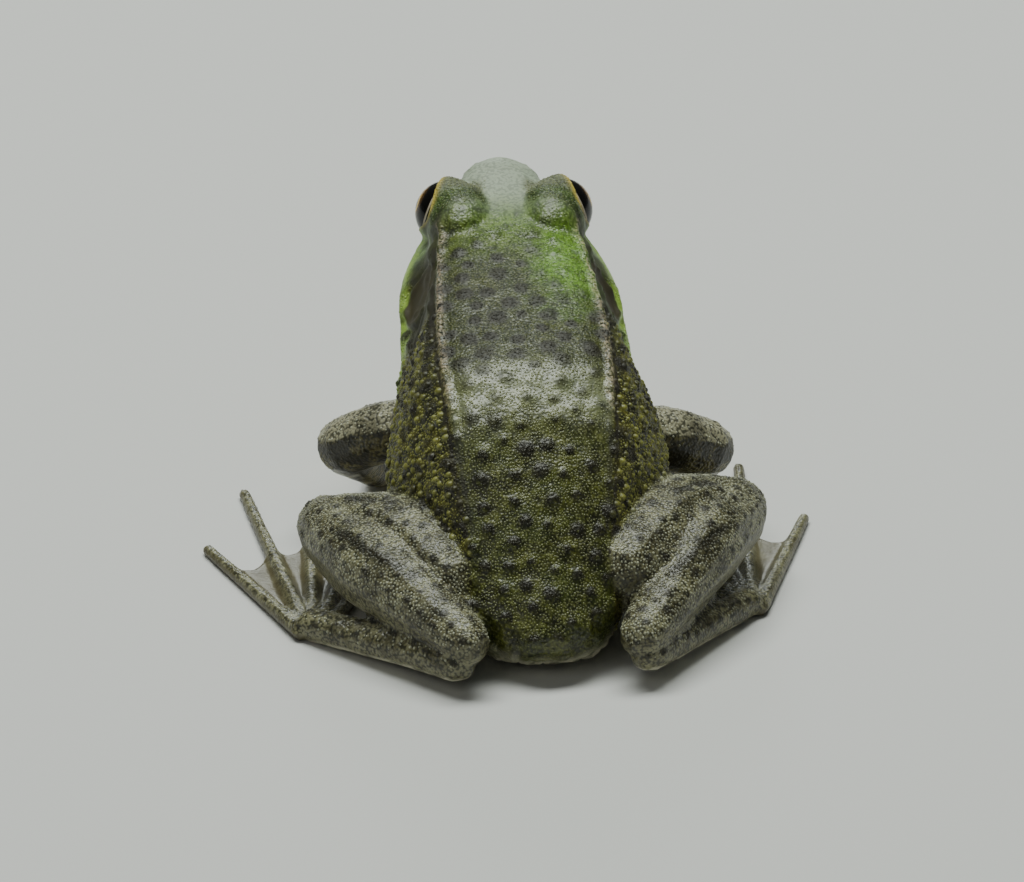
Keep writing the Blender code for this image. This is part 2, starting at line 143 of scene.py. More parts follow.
def eased(points, edges, rounds, weight):
    """Smoothing that keeps the volume: each round pulls in, then lets out a little more."""
    points = points.copy()
    for _ in range(rounds):
        for step in (0.5, -0.53):
            points += step * weight[:, None] * (neighbour_mean(points, edges) - points)
    return points


def face_outwards(obj):
    bm = bmesh.new()
    bm.from_mesh(obj.data)
    bmesh.ops.recalc_face_normals(bm, faces=bm.faces[:])
    bm.to_mesh(obj.data)
    bm.free()


def keep_largest_island(obj):
    """Drops the inner shells that the wrap leaves in closed hollows."""
    bm = bmesh.new()
    bm.from_mesh(obj.data)
    unseen, largest = set(bm.verts), []
    while unseen:
        island, queue = [], [unseen.pop()]
        while queue:
            at = queue.pop()
            island.append(at)
            beyond = {edge.other_vert(at) for edge in at.link_edges} & unseen
            unseen -= beyond
            queue += beyond
        largest = max(largest, island, key=len)
    kept = set(largest)
    bmesh.ops.delete(bm, geom=[vert for vert in bm.verts if vert not in kept], context="VERTS")
    bm.to_mesh(obj.data)
    bm.free()
    obj.data.update()


flesh = {name: welded(name) for name in FLESH}
surfaces = {
    name: BVHTree.FromPolygons([Vector(p) for p in points], faces)
    for name, (points, faces) in flesh.items()
}
all_points, all_faces, face_owner = [], [], []
for order, name in enumerate(FLESH):
    points, faces = flesh[name]
    start = sum(len(part) for part in all_points)
    all_points.append(points)
    all_faces += [[index + start for index in face] for face in faces]
    face_owner += [order] * len(faces)
all_points = np.concatenate(all_points)
whole_surface = BVHTree.FromPolygons([Vector(p) for p in all_points], all_faces)

# The lids are rings of skin that hug each eyeball round an almond-shaped opening. Each loop of
# a ring lies a few tenths of a millimetre off the ball, at an angle from the axis.
SIDES = {"L": 1, "R": -1}
EYE_AXIS = (0.92, -0.30, 0.24)
LID_OPENING = {"rear": 66.0, "front": 62.0, "up": 60.0, "down": 47.0}  # degrees from the axis
LID_REACH = 118.0  # degrees, how far round the ball the lids' root lies
LID_INSIDE = -0.5  # mm, how deep the ring reaches into the ball
LID_PROFILE = ((LID_INSIDE, 0.0), (0.12, 0.0), (0.4, 3.0), (0.52, 9.0), (0.5, 18.0))  # mm out, degrees
LID_WIDEST = LID_PROFILE[-1][1]
LID_CORNER = 0.75  # how much thinner the lid is drawn at its rear corner
LID_STEPS = 56

eye_centre = {side: np.mean(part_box("eye_" + side), axis=0) for side in SIDES}
eye_radius = (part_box("eye_L")[1][2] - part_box("eye_L")[0][2]) / 2
snout_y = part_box("head")[0][1]
eyes_middle = (eye_centre["L"] + eye_centre["R"]) / 2


def on_side(side, place):
    """A place or a direction given for the left side, turned over for the right."""
    return SIDES[side] * place[0], place[1], place[2]


def eye_frame(side, facing=EYE_AXIS):
    """The axis that the lids or the pupil face along, and the ways to their rear and up."""
    axis = Vector(on_side(side, facing)).normalized()
    rear = (Vector((0, 1, 0)) - axis * axis.y).normalized()
    up = axis.cross(rear) * (1 if axis.cross(rear).z > 0 else -1)
    return axis, rear, up


def lid_edge(turn):
    """How far from the axis the lids' edge lies, in degrees, at a turn from the rear corner."""
    along, over = math.cos(turn), math.sin(turn)
    wide = LID_OPENING["rear" if along > 0 else "front"]
    high = LID_OPENING["up" if over > 0 else "down"]
    # The lower lid draws up to a corner at the rear; elsewhere the opening is round.
    power = 1.6 if over < 0 < along else 2.0
    return (abs(along / wide) ** power + abs(over / high) ** power) ** (-1 / power)


def eye_place(side, radius, angle_degrees, turn, facing=EYE_AXIS):
    """The point at a radius, an angle from the axis and a turn about it from the rear."""
    axis, rear, up = eye_frame(side, facing)
    angle = math.radians(angle_degrees)
    across = rear * math.cos(turn) + up * math.sin(turn)
    return Vector(eye_centre[side]) + (axis * math.cos(angle) + across * math.sin(angle)) * radius


def lid_ring(side):
    """One closed ring: its loops run from the edge out to the root, and back inside the ball."""
    loops = [(out, lambda turn, more=more: lid_edge(turn) + more) for out, more in LID_PROFILE]
    loops += [
        (0.45, lambda turn: (lid_edge(turn) + LID_WIDEST + LID_REACH) / 2),
        (0.4, lambda turn: LID_REACH),
        (LID_INSIDE, lambda turn: LID_REACH),
        (LID_INSIDE, lambda turn: (lid_edge(turn) + LID_REACH) / 2),
    ]
    points, faces = [], []
    for loop, (out, angle_at) in enumerate(loops):
        for step in range(LID_STEPS):
            turn = math.tau * step / LID_STEPS
            rear_corner = 2 * max(0.0, math.cos(turn)) * max(0.0, -math.sin(turn)) * (out > 0)
            radius = eye_radius + out * (1 - LID_CORNER * rear_corner) * MM
            points.append(np.array(eye_place(side, radius, angle_at(turn), turn)))
            after, across = (step + 1) % LID_STEPS, (loop + 1) % len(loops)
            faces.append([
                loop * LID_STEPS + step, loop * LID_STEPS + after,
                across * LID_STEPS + after, across * LID_STEPS + step,
            ])
    return points, faces


wrap_points, wrap_faces = list(all_points), list(all_faces)
for side in SIDES:
    points, faces = lid_ring(side)
    wrap_faces += [[index + len(wrap_points) for index in face] for face in faces]
    wrap_points += points

skin = object_of("skin", wrap_points, wrap_faces)
face_outwards(skin)
grow = skin.modifiers.new("close the gaps", "DISPLACE")
grow.strength = GAP_CLOSING
grow.mid_level = 0.0
wrap = skin.modifiers.new("wrap", "REMESH")
wrap.mode = "VOXEL"
wrap.voxel_size = WRAP_CELL
bake_modifiers(skin)
keep_largest_island(skin)


def owners_of(points):
    """The name of the solid of flesh that each point lies nearest."""
    rows = [face_owner[whole_surface.find_nearest(Vector(point))[2]] for point in points]
    return np.array(FLESH)[rows]


def is_of(owner_names, *stems):
    """1 where the owner's name starts with one of the stems, else 0."""
    found = np.zeros(len(owner_names))
    for stem in stems:
        found[np.char.startswith(owner_names, stem)] = 1.0
    return found


def blurred(values, edges, rounds):
    """Values spread to their neighbours, for as many rounds."""
    column = np.asarray(values, dtype=float)[:, None]
    for _ in range(rounds):
        column = (column + neighbour_mean(column, edges)) / 2
    return column[:, 0]


points = points_of(skin.data)
edges = edges_of(skin.data)
owner = owners_of(points)
ease = blurred(np.where(is_of(owner, *DIGITS) > 0, DIGIT_EASE, 1.0), edges, EASE_BLUR)
from_eye = np.min([np.linalg.norm(points - eye_centre[side], axis=1) for side in SIDES], axis=0)
ease *= np.clip((from_eye - eye_radius - LID_EASE_STARTS) / LID_EASE_FADES, LID_EASE, 1.0)
move_points(skin.data, eased(points, edges, EASE_ROUNDS, ease))
points = points_of(skin.data) - normals_of(skin.data) * GAP_CLOSING * (1 - STAY_GROWN)
move_points(skin.data, points)

# ---------------- the skin's relief
# Over the flesh the skin is drawn into folds: a ridge down each edge of the back, a lip gland
# that runs to the arm, a fold round each ear disc, the mouth's slit and the nostrils.

SKIN_TRIANGLES = 192000
BODY_TURN = 0.025  # the body swings to its left of the legs, this much for each unit forwards
FOLD_LINE = (  # back from the snout, out from the midline, and drop below the back, in mm
    (17.0, 8.3, 1.0), (20.0, 9.0, 1.1), (26.0, 9.9, 1.1), (32.0, 10.4, 1.2), (39.0, 10.8, 1.4),
    (47.0, 10.8, 1.8), (54.0, 10.3, 2.1), (61.0, 9.6, 2.2), (66.0, 8.8, 2.1),
)
EAR_FOLD_LINE = (  # out from the midline, back from the snout, and up, in mm
    (9.6, 17.6, 38.0), (11.6, 20.6, 36.6), (12.2, 25.0, 36.2), (12.8, 29.4, 34.4),
    (14.2, 31.8, 30.4), (15.2, 33.4, 26.4),
)
GLAND_LINE = (
    (13.2, 17.0, 30.6), (14.6, 22.0, 28.8), (15.2, 26.0, 27.2), (15.4, 30.0, 25.4),
    (15.6, 34.0, 23.4), (15.6, 37.6, 21.4),
)
EAR_FACING = (0.88, 0.05, 0.48)
NOSTRIL_PLACE = (4.1, 3.6, 40.4)
FAR_MM = 99.0
REACH_MM = 3.0  # no ridge or wart tells further off than this

# Lumps of each kind: how wide and how high in mm, and the seed of their pattern.
MUSCLES, DIMPLES, PORES, LID_LUMPS = (5.5, 0.18, 11), (2.2, 0.16, 12), (1.1, 0.035, 13), (0.75, 0.08, 15)
CREASE_MM, CREASE_SEED, CREASE_DEPTH_MM, CREASE_WIDTH = 1.6, 14, 0.22, 0.22
BEAD_MM, BEAD_SEED = 0.8, 21
# Ridges and grooves: how high or deep, and half how wide, in mm.
FOLD_RIDGE, FOLD_GROOVE = (0.42, 0.42), (0.08, 0.4)
EAR_FOLD_RIDGE, GLAND_RIDGE = (0.34, 0.6), (0.42, 0.7)
EAR_RIM, EAR_GROOVE, EAR_BOSS = (0.24, 0.42), (0.2, 0.4), (0.2, 0.9)
NOSTRIL_RIM, NOSTRIL_HOLE = (0.2, 0.4), (0.75, 0.5)
JAW_HOLLOW, MOUTH_SLIT, LIP_ROLL = (0.45, 4.5), (0.42, 0.34), (0.2, 0.7)
HIP_RIDGES = ((48.3, (0.2, 1.8)), (56.0, (0.22, 2.0)))  # each one's place back from the snout
HUMP_MM, HUMP_HALF_MM = 52.5, 4.5
WART_SPACING_MM = {"back": 2.9, "flank": 2.7, "limbs": 2.1}
WART_RISE_MM = {"back": 0.42, "flank": 0.2, "limbs": 0.14}
WART_RADIUS_MM = (0.55, 0.95)
WART_SEED = 41


def frog_terms(points):
    """Across from the body's midline, back from the snout, and up, in millimetres."""
    mm = points / MM
    back = mm[:, 1] - snout_y / MM
    middle = eyes_middle[0] / MM + BODY_TURN * ((eyes_middle[1] - mm[:, 1] * MM) / MM)
    return mm[:, 0] - middle, back, mm[:, 2]


def from_frog_terms(across, back, up):
    y = snout_y + back * MM
    middle = eyes_middle[0] + BODY_TURN * (eyes_middle[1] - y)
    return Vector((middle + across * MM, y, up * MM))


def lumps(points, size_mm, seed):
    """Soft random lumps of a size, from -1 to 1, always the same at the same place."""
    cells_across = 48
    lattice = np.random.default_rng(seed).uniform(-1, 1, (cells_across,) * 3)
    place = points / (size_mm * MM) + 10.0 * cells_across
    cell = np.floor(place).astype(np.int64)
    part = place - cell
    part = part * part * (3 - 2 * part)
    total = np.zeros(len(points))
    for corner in np.ndindex(2, 2, 2):
        weight = np.prod(np.where(corner, part, 1 - part), axis=1)
        at = (cell + corner) % cells_across
        total += weight * lattice[at[:, 0], at[:, 1], at[:, 2]]
    return total


def raised(points, kind):
    size_mm, rise_mm, seed = kind
    return rise_mm * lumps(points, size_mm, seed)


def fade(values, low, high):
    """0 below low, 1 above high, and smooth between; high may be the lower of the two."""
    part = np.clip((values - low) / (high - low), 0, 1)
    return part * part * (3 - 2 * part)


def most(*values):
    return np.maximum.reduce(values)


def bump_at(distance, width):
    return np.exp(-((distance / width) ** 2))


def ridge(gap, kind):
    """How high a kind of ridge stands at a gap from its crest."""
    rise_mm, half_width_mm = kind
    return rise_mm * bump_at(gap, half_width_mm)


def line_on_flesh(side, named_points, spacing_mm=0.25):
    """A smooth line through points in the frog's terms, dropped onto the flesh."""
    knots = np.array([from_frog_terms(*on_side(side, point)) for point in named_points])
    knots = np.concatenate([[2 * knots[0] - knots[1]], knots, [2 * knots[-1] - knots[-2]]])
    line = []
    for before, start, end, after in zip(knots, knots[1:], knots[2:], knots[3:]):
        steps = max(2, int(np.linalg.norm(end - start) / (spacing_mm * MM)))
        for t in np.arange(steps) / steps:
            line.append(0.5 * (
                2 * start + (end - before) * t + (2 * before - 5 * start + 4 * end - after) * t**2
                + (3 * start - before - 3 * end + after) * t**3
            ))
    line.append(knots[-2])
    return np.array([whole_surface.find_nearest(Vector(point))[0] for point in line])


def rows_near(points, low, high, reach_mm):
    """Rows of the points that lie within reach of a box."""
    inside = (points > low - reach_mm * MM) & (points < high + reach_mm * MM)
    return np.flatnonzero(np.all(inside, axis=1))


def along_line(points, line, reach_mm=REACH_MM):
    """Each point's distance from the line in mm, and how far along it lies, from 0 to 1."""
    block_size = 4000
    distance = np.full(len(points), FAR_MM)
    part = np.zeros(len(points))
    near = rows_near(points, line.min(axis=0), line.max(axis=0), reach_mm)
    for block in np.array_split(near, max(1, len(near) // block_size)):
        if not len(block):
            continue
        gaps = np.linalg.norm(points[block][:, None] - line[None], axis=2)
        nearest = gaps.argmin(axis=1)
        distance[block] = gaps[np.arange(len(block)), nearest] / MM
        part[block] = nearest / (len(line) - 1)
    return distance, part


def back_height(back_mm):
    """How high the back's midline stands, in millimetres."""
    ray_from = from_frog_terms(0.0, back_mm, 60.0)
    return whole_surface.ray_cast(ray_from, Vector((0, 0, -1)))[0][2] / MM


fold_points = [(out, back, back_height(back) - drop) for back, out, drop in FOLD_LINE]
fold_line = {side: line_on_flesh(side, fold_points) for side in SIDES}
ear_fold_line = {side: line_on_flesh(side, EAR_FOLD_LINE) for side in SIDES}
gland_line = {side: line_on_flesh(side, GLAND_LINE) for side in SIDES}
ear_centre = {side: np.mean(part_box("eardrum_" + side), axis=0) for side in SIDES}


def ear_radius_at(points, side):
    """Distance from the ear disc's middle across its face in mm, far off away from the disc."""
    reach_mm = 2.6
    facing = np.array(on_side(side, EAR_FACING))
    facing /= np.linalg.norm(facing)
    offset = (points - ear_centre[side]) / MM
    depth = offset @ facing
    radius = np.linalg.norm(offset - depth[:, None] * facing, axis=1)
    return np.where(np.abs(depth) < reach_mm, radius, FAR_MM)


def distance_from(points, name, reach_mm):
    """Distance in mm from one solid, or the reach where it is further."""
    found = np.full(len(points), reach_mm)
    for row in rows_near(points, *np.array(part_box(name)), reach_mm):
        hit = surfaces[name].find_nearest(Vector(points[row]), reach_mm * MM)
        if hit[0] is not None:
            found[row] = hit[3] / MM
    return found


def eye_distance(points):
    """Distance in mm from the middle of the nearer eye."""
    return np.min([np.linalg.norm(points - eye_centre[side], axis=1) for side in SIDES], axis=0) / MM


def lips_meet(from_head, from_jaw, back, half_width_mm):
    """1 along the line where the lips meet, 0 away from it."""
    slit = bump_at(from_head - from_jaw, half_width_mm)
    slit *= fade(np.minimum(from_head, from_jaw), 0.6, 0.4)
    return slit * fade(back, 31.5, 29.5)


def scattered(points, chance, spacing_mm, seed):
    """Rows of points picked at random by chance, none nearer another than the spacing."""
    rng = np.random.default_rng(seed)
    order = rng.permutation(np.flatnonzero(rng.random(len(points)) < chance))
    size = spacing_mm * MM
    cells, chosen = {}, []
    for row in order:
        point = points[row]
        cell = tuple(np.floor(point / size).astype(int))
        close = any(
            np.sum((points[other] - point) ** 2) < size * size
            for shift in np.ndindex(3, 3, 3)
            for other in cells.get(tuple(np.add(cell, shift) - 1), ())
        )
        if not close:
            cells.setdefault(cell, []).append(row)
            chosen.append(row)
    return np.array(chosen)


def nearest_root(points, roots):
    """Distance in mm from the nearest root, and which root it is."""
    tree = kdtree.KDTree(len(roots))
    for index, root in enumerate(roots):
        tree.insert(Vector(root), index)
    tree.balance()
    which, gap = np.array([tree.find(point)[1:] for point in points]).T
    return gap / MM, which.astype(int)


def soft(rounds, *stems):
    """1 on the parts whose names start so, softened over as many rounds of neighbours."""
    return blurred(is_of(owner, *stems), edges, rounds)


normals = normals_of(skin.data)
across, back, up = frog_terms(points)
faces_up = normals[:, 2]
head, jaw, trunk, digits = soft(4, *HEAD), soft(4, "lower_jaw"), soft(6, "trunk"), soft(2, *DIGITS)
limbs = blurred(1 - is_of(owner, *BODY), edges, 3)
relief = np.zeros(len(points))

# The head's sides are smooth and the neck is calmer than the back.
cheek = head * fade(faces_up, 0.6, 0.3)
rough_skin = np.clip(trunk + head * fade(back, 19, 26), 0, 1) * (1 - cheek)
neck = fade(back, 22, 27) * fade(back, 52, 48) * fade(faces_up, 0.3, 0.7)
relief += raised(points, MUSCLES) * (1 - digits) * (1 - 0.8 * head)
dimples = raised(points, DIMPLES) * (1 - digits) * (0.25 + 0.75 * rough_skin)
relief += dimples * (1 - 0.8 * cheek) * (1 - 0.65 * neck)
relief += raised(points, PORES) * (1 - 0.8 * cheek)
from_eye = eye_distance(points)
lid_lumps = raised(points, LID_LUMPS) * head * fade(from_eye, 8.0, 7.0)
relief += lid_lumps * fade(from_eye, 5.8, 6.4)
hips = sum(ridge(back - place, kind) for place, kind in HIP_RIDGES)
relief += hips * trunk * fade(np.abs(across), 12.5, 8.5) * fade(faces_up, 0.3, 0.7)
flank = trunk * fade(faces_up, 0.75, 0.35) * fade(back, 30, 38)
creases = lumps(points * (1.0, 0.35, 1.0) + (0, 0, 2 * MM), CREASE_MM, CREASE_SEED)
relief -= CREASE_DEPTH_MM * flank * bump_at(creases, CREASE_WIDTH)

body = np.clip(head + trunk + jaw, 0, 1)
wart_ground = {
    "back": body * (1 - limbs) * fade(faces_up, 0.2, 0.6) * fade(back, 19, 23),
    "flank": flank,
    "limbs": limbs * (1 - digits) * fade(faces_up, 0.0, 0.4),
}
wart_roots = {}
for seed, (place, ground) in enumerate(wart_ground.items()):
    rows = scattered(points, 0.5 * ground, WART_SPACING_MM[place], WART_SEED + seed)
    wart_roots[place] = points[rows]
    gap, which = nearest_root(points, wart_roots[place])
    size = np.random.default_rng(seed).uniform(*WART_RADIUS_MM, len(rows))[which]
    hump = bump_at(back - HUMP_MM, HUMP_HALF_MM) * (place == "back")
    relief += ridge(gap, (WART_RISE_MM[place], size)) * ground * (1 - 0.45 * hump) * (1 - 0.35 * neck)

for side in SIDES:
    gap, part = along_line(points, fold_line[side])
    bead = 0.75 + 0.8 * lumps(points, BEAD_MM, BEAD_SEED)
    length = fade(part, 0.0, 0.06) * fade(part, 0.82, 0.66)
    relief += ridge(gap, FOLD_RIDGE) * bead * length
    relief -= ridge(gap - 1.0, FOLD_GROOVE) * length
    gap, part = along_line(points, ear_fold_line[side])
    relief += ridge(gap, EAR_FOLD_RIDGE) * fade(part, 0.0, 0.15) * fade(part, 1.0, 0.8)
    gap, part = along_line(points, gland_line[side])
    relief += ridge(gap, GLAND_RIDGE) * fade(part, 0.0, 0.3) * fade(part, 1.0, 0.85)
    ring = ear_radius_at(points, side)
    relief += ridge(ring - 4.15, EAR_RIM) - ridge(ring - 4.95, EAR_GROOVE)
    relief -= 0.1 * fade(ring, 3.8, 2.0) - ridge(ring, EAR_BOSS)
    nostril = whole_surface.find_nearest(from_frog_terms(*on_side(side, NOSTRIL_PLACE)))[0]
    gap = np.linalg.norm(points - np.array(nostril), axis=1) / MM
    relief += ridge(gap - 0.95, NOSTRIL_RIM) - ridge(gap, NOSTRIL_HOLE)

relief -= ridge(back - 24.0, JAW_HOLLOW) * (head + jaw) * fade(np.abs(across), 10.5, 12.5)
from_head, from_jaw = (distance_from(points, name, REACH_MM) for name in ("head", "lower_jaw"))
slit_depth, slit_half_width = MOUTH_SLIT
relief -= slit_depth * lips_meet(from_head, from_jaw, back, slit_half_width)
relief += ridge(from_jaw - 1.2, LIP_ROLL) * head * fade(back, 31, 27)

points = points + normals * relief[:, None] * MM
points[:, 2] = np.maximum(points[:, 2], 0.0)
move_points(skin.data, points)

thin = skin.modifiers.new("thin", "DECIMATE")
thin.ratio = min(1.0, SKIN_TRIANGLES / (2 * len(skin.data.polygons)))
bake_modifiers(skin)
skin.data.shade_smooth()
skin.name = "skin"
bpy.context.view_layer.objects.active = skin
skin.select_set(True)
bpy.ops.object.mode_set(mode="EDIT")
bpy.ops.mesh.select_all(action="SELECT")
bpy.ops.uv.smart_project(angle_limit=math.radians(66), island_margin=0.002)
bpy.ops.object.mode_set(mode="OBJECT")
skin.data.uv_layers[0].name = "unwrap"

# ---------------- the skin's markings
# Colour cells lie in patches: dark spots and bars, pale ridges, a green face, a yellow throat
# and a white belly. Some marks are painted light and shade: a pale sheen on the hump, face and
# arm tops, and shade on the neck, temple, lower lids, lids' rears, arms' undersides, beside the
# folds and in the mouth. Each is stored on the skin as how much of it a point has, from 0 to 1.

BARS = {  # the way each part's upper end lies, and the width and places of its bars from there, 0 to 1
    "upper_arm": ((-1, 0, 0), 0.14, (0.45,)), "forearm": ((0, 0, 1), 0.1, (0.15, 0.5, 0.85)),
    "thigh": ((0, 1, 0), 0.08, (0.2, 0.5, 0.8)), "shank": ((0, -1, 0), 0.062, (0.1, 0.34, 0.58, 0.82)),
    "tarsus": ((0, 1, 0), 0.08, (0.15, 0.45, 0.75)),
}
SHANK_LINES = (  # out from the midline, back from the snout, and up, in mm
    ((26.6, 57.2, 14.2), (24.0, 61.3, 14.3), (21.0, 65.3, 13.8), (18.8, 67.5, 13.2), (15.9, 70.7, 12.0)),
    ((17.9, 57.9, 18.3), (20.7, 55.5, 17.9), (25.1, 50.0, 15.9)),
)
SHANK_LINE_HALF_MM = 0.8
BELLY_EDGE = (  # back from the snout, and how high the pale belly reaches, in mm
    (0, 36), (10, 29.5), (20, 23), (30, 16.5), (40, 9.5), (50, 4.5), (60, 1.5), (70, 0.0), (76, -1.0),
)
LIP_HEIGHT = ((14.0, 4.2), (19.0, 3.0))  # back from the snout, and the green lip's height, in mm
NAPE_PATCH = ((27.5, 7.5), (-7.8, 5.4))  # the green patch's middle and half-width, back and across
SPOT_SEED = 60
SPOT_RADIUS_MM = {"back": (0.8, 1.6), "flank": (0.4, 1.0), "limbs": (0.5, 1.1)}
# The shift puts each spot on its wart's side away from the light, as painted shade.
SPOT_SHADE_SHIFT = (0, 0.2 * MM, 0)  # each spot lies a little behind its wart
JAW_REACH_MM = 6.0

points = points_of(skin.data)
normals = normals_of(skin.data)
edges = edges_of(skin.data)
owner = owners_of(points)
across, back, up = frog_terms(points)
faces_up = normals[:, 2]
head, jaw, trunk = soft(3, *HEAD), soft(3, "lower_jaw"), soft(5, "trunk")
arms = soft(2, "upper_arm", "forearm")
limbs = blurred(1 - is_of(owner, *BODY), edges, 4)
rough = lumps(points, 2.2, 31)
fine = lumps(points, 0.9, 32)
mark = {}


def along_part(name, upward):
    """How far each point lies along one part, from its upper end, 0, to its lower end, 1."""
    own, _ = flesh[name]
    middle = own.mean(axis=0)
    axis = np.linalg.svd(own - middle, full_matrices=False)[2][0]
    reach = (own - middle) @ axis
    low, high = np.percentile(reach, (2, 98))
    part = ((points - middle) @ axis - low) / (high - low)
    (x, y, z), (end_x, end_y, end_z) = own[reach.argmin()], own[reach.argmax()]
    starts_up = np.dot(upward, (abs(x) - abs(end_x), y - end_y, z - end_z)) > 0
    return part if starts_up else 1 - part


bars = np.zeros(len(points))
for stem, (upward, width, places) in BARS.items():
    for side in SIDES:
        name = stem + "_" + side
        part = along_part(name, upward) + 0.035 * rough + 0.02 * fine
        for place in places:
            bar = soft(2, name) * fade(np.abs(part - place), width, 0.4 * width)
            bars = np.maximum(bars, bar)
bars *= fade(faces_up, -0.35, 0.1)
# Dark blotches on the arm's lower side: the skin's own mottling, and painted shade where it turns down.
blotches_and_shade = arms * fade(faces_up, 0.5, 0.25)
blotches_and_shade = blotches_and_shade * fade(rough + 0.7 * fine, -0.4, 0.0)
blotches_and_shade *= fade(faces_up, -0.95, -0.75)
shank_line = np.zeros(len(points))
for side in SIDES:
    for knots in SHANK_LINES:
        gap, part = along_line(points, line_on_flesh(side, knots), 2.0)
        broken = fade(rough + 0.6 * fine, -0.8, -0.3)
        line = 1.5 * bump_at(gap, SHANK_LINE_HALF_MM) * broken * fade(part, 0.0, 0.1)
        shank_line = np.maximum(shank_line, line * fade(part, 1.0, 0.9))
mark["bars"] = most(bars * (0.5 + 0.25 * fine), blotches_and_shade, shank_line)

# How far each point is from the folds, lip gland and ear disc, and the gold rim of each lid.
fold_gap, gland_gap, ear_gap = (np.full(len(points), FAR_MM) for _ in range(3))
fold_part, lid_rim = np.zeros(len(points)), np.zeros(len(points))
for side in SIDES:
    gap, part = along_line(points, fold_line[side])
    fold_part = np.where(gap < fold_gap, part, fold_part)
    fold_gap = np.minimum(fold_gap, gap)
    gland_gap = np.minimum(gland_gap, along_line(points, gland_line[side])[0])
    ear_gap = np.minimum(ear_gap, ear_radius_at(points, side))
    axis, rear, top = eye_frame(side)
    arm = (points - eye_centre[side]) / MM
    distance = np.linalg.norm(arm, axis=1)
    angle = np.degrees(np.arccos(np.clip(arm @ axis / distance, -1, 1)))
    turn = np.arctan2(arm @ top, arm @ rear)
    edge = np.array([lid_edge(value) for value in turn])
    close = fade(distance, eye_radius / MM + 1.0, eye_radius / MM + 0.7)
    upper = fade(np.sin(turn), -0.1, 0.5)
    rim = close * bump_at(angle - edge - 3.0, 3.0 + 2.5 * upper) * (0.35 + 0.65 * upper)
    lid_rim = np.maximum(lid_rim, rim)
mark["lid_rim"] = lid_rim
outside_fold = fade(np.abs(across) - np.interp(back, *np.array(FOLD_LINE).T[:2]), 0.2, 0.7)

mark["fold"] = bump_at(fold_gap, 0.42) * fade(fold_part, 0.0, 0.08) * fade(
    fold_part, 0.74, 0.62) * (0.85 + 0.5 * fine)
mark["ear"] = fade(ear_gap, 4.5, 4.1)
from_head, from_jaw = (distance_from(points, name, JAW_REACH_MM) for name in ("head", "lower_jaw"))
from_eye = eye_distance(points)
eye_back, eye_level = eyes_middle[1] / MM - snout_y / MM, eyes_middle[2] / MM

# Painted shade darkens the temple behind the eye and under the fold, the lower lid under each
# eye, the groove just outside each fold and the mouth's slit. A dark line of the skin's own runs
# on where the fold ends.
temple = outside_fold * (1 - limbs) * fade(from_jaw, 2.6, 3.4) * fade(back, 16.0, 18.0)
temple *= fade(back, 37.0, 33.0)
lower_lid = head * fade(from_eye, 6.4, 5.4) * fade(back, eye_back + 1.5, eye_back + 3.0)
lower_lid *= fade(up, eye_level + 2.4, eye_level + 1.4)
temple = np.maximum(temple, lower_lid)
mark["line"] = most(
    0.8 * temple * (1 - mark["ear"]) * fade(gland_gap, 0.6, 1.1),
    bump_at(np.maximum(np.abs(fold_gap - 1.2) - 0.5, 0), 0.35) * outside_fold
    * fade(fold_part, 0.02, 0.1) * fade(fold_part, 0.5, 0.36),
    bump_at(fold_gap - 0.95, 0.35) * outside_fold * fade(fold_part, 0.3, 0.45),
    bump_at(fold_gap, 0.42) * fade(fold_part, 0.68, 0.75) * (0.85 + 0.4 * rough),
    0.7 * lips_meet(from_head, from_jaw, back, 0.3),
)

lip_height = np.interp(back, *np.array(LIP_HEIGHT).T)
lip = head * fade(from_jaw, lip_height, lip_height - 1.2) * fade(back, 33, 29)
lip = np.maximum(lip, bump_at(gland_gap, 1.1) * fade(faces_up, -0.6, -0.2))
below_eye = 0.85 * head * fade(up, eye_level - 0.5, eye_level - 3.0) * fade(back, 16, 12)
lip = np.maximum(lip, below_eye)
mark["lip"] = np.clip(lip, 0, 1) * (0.85 + 0.2 * rough) * (1 - mark["ear"])

behind_eye = fade(back, eye_back + 0.5, eye_back + 4.0)
lid = head * fade(from_eye, 7.6, 6.4) * fade(np.abs(across), 2.2, 3.4)
lid = lid * fade(up, eye_level + 0.5, eye_level + 2.0) * fade(back, 7.5, 10.0)
mark["lid"] = lid
lid_slope, lid_middle = back + 0.35 * up, eye_back + 0.35 * eye_level
# The lid's rear is painted dark green: its own green, darkened as painted shade.
mark["lid rear"] = lid * fade(lid_slope, lid_middle + 1.5, lid_middle + 4.5)
(nape_back, nape_half_back), (nape_across, nape_half_across) = NAPE_PATCH
nape = bump_at(back - nape_back, nape_half_back) * bump_at(across - nape_across, nape_half_across)
mark["green"] = np.clip(most(
    0.45 * fade(from_eye, 7.5, 5.5) * behind_eye,
    nape * 1.5 + 0.25 * rough * (nape > 0.05),
    0.5 * bump_at(back - 20, 6.0) * bump_at(across, 8),
    0.7 * head * fade(up, eye_level + 2.0, eye_level - 1.0) * fade(back, 20, 14),
), 0, 1) * (head + trunk) * (1 - 0.55 * lid)

belly_edge = np.interp(back, *np.array(BELLY_EDGE).T)
under = (1 - limbs) * fade(up - belly_edge + 0.9 * rough, 5.5, 1.0)
under = under * fade(faces_up, 0.35, -0.15)
limb_under = fade(faces_up + 0.15 * rough, -0.45 - 0.3 * arms, -0.8 - 0.15 * arms)
under = most(under, limbs * limb_under, jaw * fade(faces_up, 0.5, 0.2))
upper_lip = head * fade(from_jaw - from_head, -0.1, 0.15) * fade(back, 33, 31)
mark["under"] = under * (1 - upper_lip)
throat = np.clip(jaw + head * (under > 0.5), 0, 1) * fade(back + 1.2 * rough, 33, 26)
mark["throat"] = throat * (1 - upper_lip)

